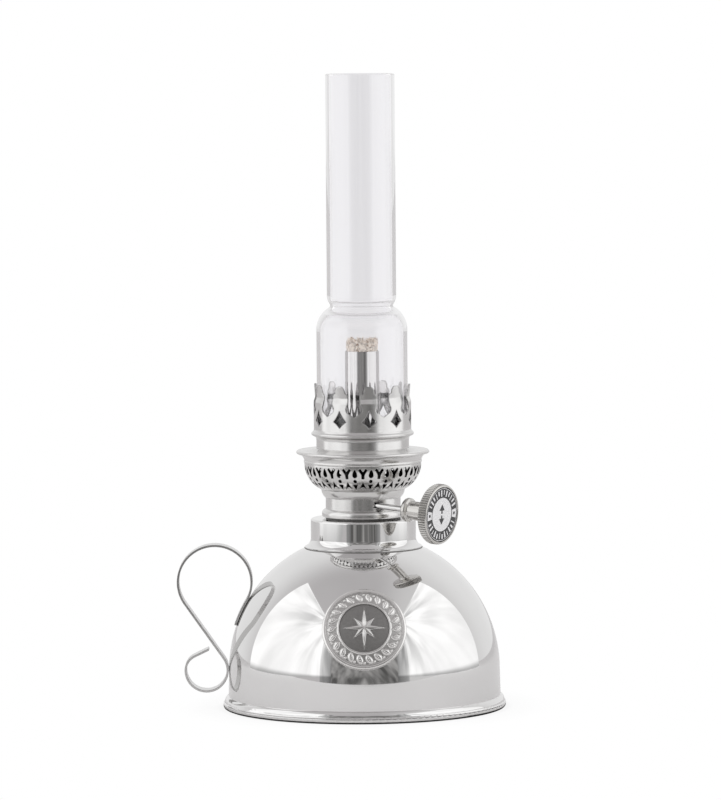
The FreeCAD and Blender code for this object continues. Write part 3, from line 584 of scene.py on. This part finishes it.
def face_shapes():
    """Outlines on the enamel face from the lowest up, each with whether it is black."""
    shapes = []
    rings = [(0.0, FACE_RAD, False)] + [(inner, outer, True) for inner, outer in INK_RINGS]
    for inner, outer, black in rings:
        for i in range(FACE_SECTORS):
            start, end = FULL * i / FACE_SECTORS, FULL * (i + 1) / FACE_SECTORS
            shapes.append((ring_outline(inner, outer, start, end, 4), black))
    for i in range(BARS):
        middle = FULL * (i + 0.5) / BARS
        from_side = abs((middle + FULL / 4) % (FULL / 2))
        if min(from_side, FULL / 2 - from_side) < SIDE_GAP:
            continue
        half = math.radians(2.6 if i % 3 else 1.5)
        low = 6.9 if i % 2 else 7.5
        shapes.append((ring_outline(low, BAR_END, middle - half, middle + half, 3), False))
    for side in (-1, 1):
        middle = side * FULL / 4
        start, end = middle - SIDE_SPREAD, middle + SIDE_SPREAD
        shapes.append((ring_outline(6.75, 9.4, start, end, 8), False))
        shapes.append((dot_outline(side * DOT_PLACE, 0.0, DOT_RAD), True))
    for flip in (-1, 1):
        head = [(-1.7, 1.5 * flip), (0.0, ARROW_TIP * flip), (1.7, 1.5 * flip)]
        shaft = [(-0.45, 0.35 * flip), (-0.45, 1.6 * flip), (0.45, 1.6 * flip), (0.45, 0.35 * flip)]
        shapes += [(head, True), (shaft, True)]
    return shapes


def enamel_face(place):
    """White enamel with white bars and two dots in a black ring, and an up-and-down arrow."""
    points, faces, inks = [], [], []
    for layer, (outline, black) in enumerate(face_shapes()):
        lift = FACE_HEIGHT + INK_STEP * layer
        start = len(points)
        points += flat_shape(place, outline, lift)
        faces.append(list(range(start, len(points))))
        inks.append(1 if black else 0)
    mesh = bpy.data.meshes.new("enamel_face")
    mesh.from_pydata(points, [], faces)
    made = piece("enamel_face", "winder", mesh, "enamel", "knob_enamel")
    mesh.materials.append(glazed("black_enamel", (0.012, 0.012, 0.014)))
    for face, ink in zip(mesh.polygons, inks):
        face.material_index = ink
    return made


# ---------------------------------------------------------------- frayed wick

GAP_INNER = 4.25                # radii of the gap between the tubes, in millimetres
GAP_OUTER = 6.1
YARNS = 150
YARN_SHAPE = (0.8, 1.0, 1.05, 0.85, 0.35)       # shares of a yarn's radius, from foot to tip
FIBRES = 420
FIBRE_RADII = (0.06, 0.055, 0.05, 0.04, 0.02)
YARN_ROOM = 0.03                # least distance from the tubes
FIBRE_ROOM = 0.1


def in_gap(point, room):
    """Moves a point of yarn between the tubes, so that the wick can be wound down into them."""
    radius = math.hypot(point.x, point.y)
    kept = min(max(radius, GAP_INNER + room), GAP_OUTER - room)
    return Vector((point.x * kept / radius, point.y * kept / radius, point.z))


def strand(points, faces, path, radii, sides):
    """Adds a tapering tube along a path to a growing mesh."""
    for i, (spot, radius) in enumerate(zip(path, radii)):
        ahead = path[min(i + 1, len(path) - 1)] - path[max(i - 1, 0)]
        across = ahead.orthogonal().normalized()
        over = ahead.cross(across).normalized()
        start = len(points)
        for j in range(sides):
            turn = FULL * j / sides
            points.append(spot + (across * math.cos(turn) + over * math.sin(turn)) * radius)
        if i:
            for j in range(sides):
                after = (j + 1) % sides
                faces.append((start - sides + j, start - sides + after, start + after, start + j))
    faces.append(tuple(range(len(points) - sides, len(points))))


def frayed_wick():
    """Loose yarn ends and fine fibres where the wick is cut, just above the tube."""
    dice = random.Random(6)
    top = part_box("wick")[1][2] / MM
    points, faces = [], []
    for _ in range(YARNS):
        angle = dice.uniform(0, FULL)
        radius = dice.uniform(4.3, 6.1)
        base = Vector((radius * math.cos(angle), radius * math.sin(angle),
                       top - dice.uniform(0.4, 3.0)))
        lean = Vector((math.cos(angle), math.sin(angle), 0)) * dice.uniform(-0.9, 0.75)
        side = Vector((-math.sin(angle), math.cos(angle), 0)) * dice.uniform(-0.8, 0.8)
        tall = dice.uniform(1.3, 2.6)
        path = [base + Vector((0, 0, tall * k / 4)) + (lean + side) * (k / 4) ** 2
                for k in range(5)]
        thick = dice.uniform(0.32, 0.58)
        radii = [thick * share for share in YARN_SHAPE]
        path = [in_gap(spot, radius + YARN_ROOM) for spot, radius in zip(path, radii)]
        strand(points, faces, path, radii, 6)
    for _ in range(FIBRES):
        angle = dice.uniform(0, FULL)
        radius = dice.uniform(4.0, 6.3)
        base = Vector((radius * math.cos(angle), radius * math.sin(angle),
                       top - dice.uniform(0.0, 2.2)))
        drift = Vector((dice.uniform(-1.1, 1.1), dice.uniform(-1.1, 1.1), 0))
        tall = dice.uniform(0.8, 2.3)
        path = [base + Vector((0, 0, tall * (k / 4) ** 0.8)) + drift * (k / 4) ** 1.7
                for k in range(5)]
        path = [in_gap(spot, FIBRE_ROOM) for spot in path]
        strand(points, faces, path, FIBRE_RADII, 3)
    mesh = smooth_mesh("frayed_wick", [point * MM for point in points], faces, sharp=60.0)
    piece("frayed_wick", "wick", mesh, "cotton")


# ---------------------------------------------------------------- painted shadow at the collar's foot


def painted_seam_shadow():
    """Thin dark bead where the collar's foot meets the dome: painted shadow in their contact gap."""
    foot = 22.3                 # millimetres
    bead_rad = 0.22
    around, across = 180, 12
    height = BALL_MID + math.sqrt(BALL_RAD ** 2 - foot ** 2)
    rows = []
    for i in range(across + 1):
        turn = FULL * i / across
        radius = foot + bead_rad * math.cos(turn)
        rise = height + bead_rad * (0.2 + math.sin(turn))
        row = []
        for j in range(around):
            angle = FULL * j / around
            row.append(Vector((radius * math.cos(angle), radius * math.sin(angle), rise)) * MM)
        rows.append(row)
    # a dark bead as painted shadow, in the rubber's grey
    piece("painted_seam_shadow", "font", grid_mesh("painted_seam_shadow", rows), "seal_rubber")


struck_badge()
painted_seam_shadow()
knurled_knob(winder_place())
enamel_face(winder_place())
frayed_wick()

# ---------------------------------------------------------------- studio

TABLE = (0.95, 0.945, 0.945)
# painted shadow on the table round the lamp's foot
PAINTED_FOOT_SHADOW = (0.06, 0.058, 0.058)
FOOT = 0.054                    # radius of the lamp's foot
TABLE_EDGE = -0.245             # Y where the table ends in front, as the metal sees it
THROUGH_GLASS = (0.84, 0.836, 0.85)
LEFT_OF_LAMP = (0.56, 0.545, 0.55)
RIGHT_OF_LAMP = (0.70, 0.695, 0.695)
ABOVE_LAMP = (0.53, 0.515, 0.52)
BEHIND_LAMP = (0.88, 0.88, 0.88)
DRAPE = -0.95                   # Y of the dark cloth
GATHER = (-0.66, 0.77)          # Y and Z of the corner where the tent's cloth is gathered
TENT_SIDE = 0.5                 # X of the tent's walls
TENT_BACK = 0.18                # Y where they end behind the lamp
TENT_LOW = -0.4                 # Z where its front hangs to, past the table's edge
CAMERA = (-0.0007, -2.14, 0.2785)
AIM_HEIGHT = 0.1171
LENS = 254.2                    # focal length in millimetres
ROLL = math.radians(-0.46)


def panel(name, corner, side, up, material):
    """A flat sheet of the light tent, from a corner and two edges. The camera can't see it."""
    corner, side, up = Vector(corner), Vector(side), Vector(up)
    mesh = bpy.data.meshes.new(name)
    corners = [corner, corner + side, corner + side + up, corner + up]
    mesh.from_pydata(corners, [], [(0, 1, 2, 3)])
    mesh.materials.append(material)
    made = bpy.data.objects.new(name, mesh)
    bpy.context.scene.collection.objects.link(made)
    made.visible_camera = False
    made.visible_shadow = False
    return made


def folded_cloth(name, strength, contrast, low=1.0, front=1.0):
    """Backlit tent cloth with soft folds that fan down from its gathered corner.

    low is the share of light left at its foot, and front the share at the drape.
    """
    made = bpy.data.materials.new(name)
    graph = Graph(made)
    x, y, z = graph.split(graph.place())
    along = graph.maths("SUBTRACT", y, GATHER[0])
    down = graph.maths("SUBTRACT", GATHER[1], z)
    fan = graph.maths("ARCTAN2", along, down)
    far = graph.length(along, down)
    side = graph.maths("SIGN", x)
    where = graph.join(graph.maths("MULTIPLY", fan, 4.5), graph.maths("MULTIPLY", far, 1.4), side)
    folds = graph.noise(where, 1.0, detail=2.5)
    depth = graph.span(far, 0.1, 0.75, contrast, contrast * 0.3)
    shade = graph.maths("MULTIPLY", depth, graph.span(folds, 0.58, 0.36))
    light = graph.maths("MULTIPLY", graph.maths("SUBTRACT", 1.0, shade), strength)
    foot = graph.span(z, 0.0, 0.035, low, 1.0, smooth=True)
    light = graph.maths("MULTIPLY", light, foot)
    light = graph.maths("MULTIPLY", light, graph.span(y, DRAPE, GATHER[0], front, 1.0))
    graph.glow((1.0, 1.0, 1.0), light)
    return made


def draped_cloth(name, light, dark):
    """Dark cloth round the camera, with a faint painted glow and painted shade in slanting folds."""
    made = bpy.data.materials.new(name)
    graph = Graph(made)
    x, y, z = graph.split(graph.place())
    sag = graph.maths("MULTIPLY", graph.maths("ABSOLUTE", x), 0.8)
    hang = graph.maths("MULTIPLY", z, 0.45)
    folds = graph.noise(graph.join(graph.maths("ADD", x, hang), 0.0, graph.maths("ADD", z, sag)),
                        5.0, detail=2.0)
    # painted light: the glow stands for the tent's light on the cloth, dimmer in the folds
    graph.glow((1.0, 0.985, 0.97), graph.span(folds, 0.3, 0.68, dark, light, smooth=True))
    return made


def floor():
    """White table, with a painted shadow just round the lamp's foot.

    The camera sees plain white with a faint shadow, and metal sees the table end in front.
    """
    reach = 6.0
    mesh = bpy.data.meshes.new("floor")
    corners = [(-reach, -reach, 0), (reach, -reach, 0), (reach, reach, 0), (-reach, reach, 0)]
    mesh.from_pydata(corners, [], [(0, 1, 2, 3)])
    made = bpy.data.materials.new("pale_table")
    graph = Graph(made)
    x, y, z = graph.split(graph.place())
    path = graph.add("ShaderNodeLightPath").outputs
    white = graph.add("ShaderNodeEmission", {"Color": (1, 1, 1, 1), "Strength": 1.0})
    away = graph.length(x, y)
    # painted shadow: the table's colour darkens within 3 mm of the lamp's foot
    lit = graph.span(away, FOOT, FOOT + 0.003, smooth=True)
    shaded = graph.mix(lit, PAINTED_FOOT_SHADOW, TABLE)
    paper = graph.add("ShaderNodeBsdfDiffuse", {"Color": shaded})
    faded = graph.span(away, FOOT, FOOT + 0.02, 0.92, 1.0, smooth=True)
    table = graph.add("ShaderNodeMixShader", {
        0: graph.maths("MULTIPLY", faded, path["Is Camera Ray"]), 1: paper.outputs[0],
        2: white.outputs[0]})
    behind = graph.add("ShaderNodeEmission", {"Color": (*THROUGH_GLASS, 1.0), "Strength": 1.0})
    table = graph.add("ShaderNodeMixShader", {
        0: path["Is Transmission Ray"], 1: table.outputs[0], 2: behind.outputs[0]})
    gone = graph.maths("MULTIPLY", path["Is Glossy Ray"], graph.maths("LESS_THAN", y, TABLE_EDGE))
    nothing = graph.add("ShaderNodeBsdfTransparent")
    graph.surface(graph.add("ShaderNodeMixShader", {
        0: gone, 1: table.outputs[0], 2: nothing.outputs[0]}))
    mesh.materials.append(made)
    top = bpy.data.objects.new("floor", mesh)
    bpy.context.scene.collection.objects.link(top)


def world():
    """White to the camera, pale grey through glass, and in reflections a grey room, light behind."""
    made = bpy.data.worlds.new("studio")
    bpy.context.scene.world = made
    graph = Graph(made)
    path = graph.add("ShaderNodeLightPath").outputs
    across, back, up = graph.split(graph.add("ShaderNodeTexCoord").outputs["Generated"])
    aside = graph.span(graph.maths("ABSOLUTE", across), 0.1, 0.6, 0.0, 1.0, smooth=True)
    on_right = graph.maths("GREATER_THAN", across, 0.0)
    sides = graph.mix(on_right, LEFT_OF_LAMP, RIGHT_OF_LAMP)
    room = graph.mix(aside, ABOVE_LAMP, sides)
    room = graph.mix(graph.span(back, 0.05, 0.75, smooth=True), room, BEHIND_LAMP)
    room = graph.mix(graph.straight_through(), room, THROUGH_GLASS)
    seen = graph.mix(path["Is Camera Ray"], room, (1.0, 1.0, 1.0))
    graph.add("ShaderNodeOutputWorld", {
        "Surface": graph.add("ShaderNodeBackground", {"Color": seen}).outputs[0]})


def tent():
    """Bright walls left and right, with a soft edge in front, and dark cloth round the camera."""
    bright = folded_cloth("bright_cloth", 1.28, 0.6, low=0.45)
    edge = folded_cloth("edge_cloth", 0.95, 0.8, low=0.45, front=0.36)
    near, top = GATHER
    drape = draped_cloth("drape", 0.42, 0.10)
    for side, x in (("left", -TENT_SIDE), ("right", TENT_SIDE)):
        panel(f"wall_{side}", (x, near, 0), (0, TENT_BACK - near, 0), (0, 0, top), bright)
        panel(f"edge_{side}", (x, DRAPE, TENT_LOW), (0, near - DRAPE, 0), (0, 0, top - TENT_LOW),
              edge)
        panel(f"clip_{side}", (0.98 * x, near - 0.03, top - 0.07), (0, 0.07, 0.03),
              (0, 0.03, 0.04), drape)
    panel("front", (-TENT_SIDE, DRAPE, TENT_LOW), (2 * TENT_SIDE, 0, 0), (0, 0, 0.9), drape)


def camera():
    """Long lens in front, a little above the lamp's middle, looking slightly down."""
    lens = bpy.data.cameras.new("camera")
    lens.lens = LENS
    lens.sensor_width = 36.0
    lens.clip_end = 20.0
    made = bpy.data.objects.new("camera", lens)
    bpy.context.scene.collection.objects.link(made)
    made.location = CAMERA
    look = (Vector((CAMERA[0], 0.0, AIM_HEIGHT)) - made.location).to_track_quat("-Z", "Y")
    roll = Matrix.Rotation(ROLL, 4, "Z")
    made.rotation_euler = (look.to_matrix().to_4x4() @ roll).to_euler()
    bpy.context.scene.camera = made


floor()
world()
tent()
camera()
bpy.context.scene.view_settings.view_transform = "Standard"
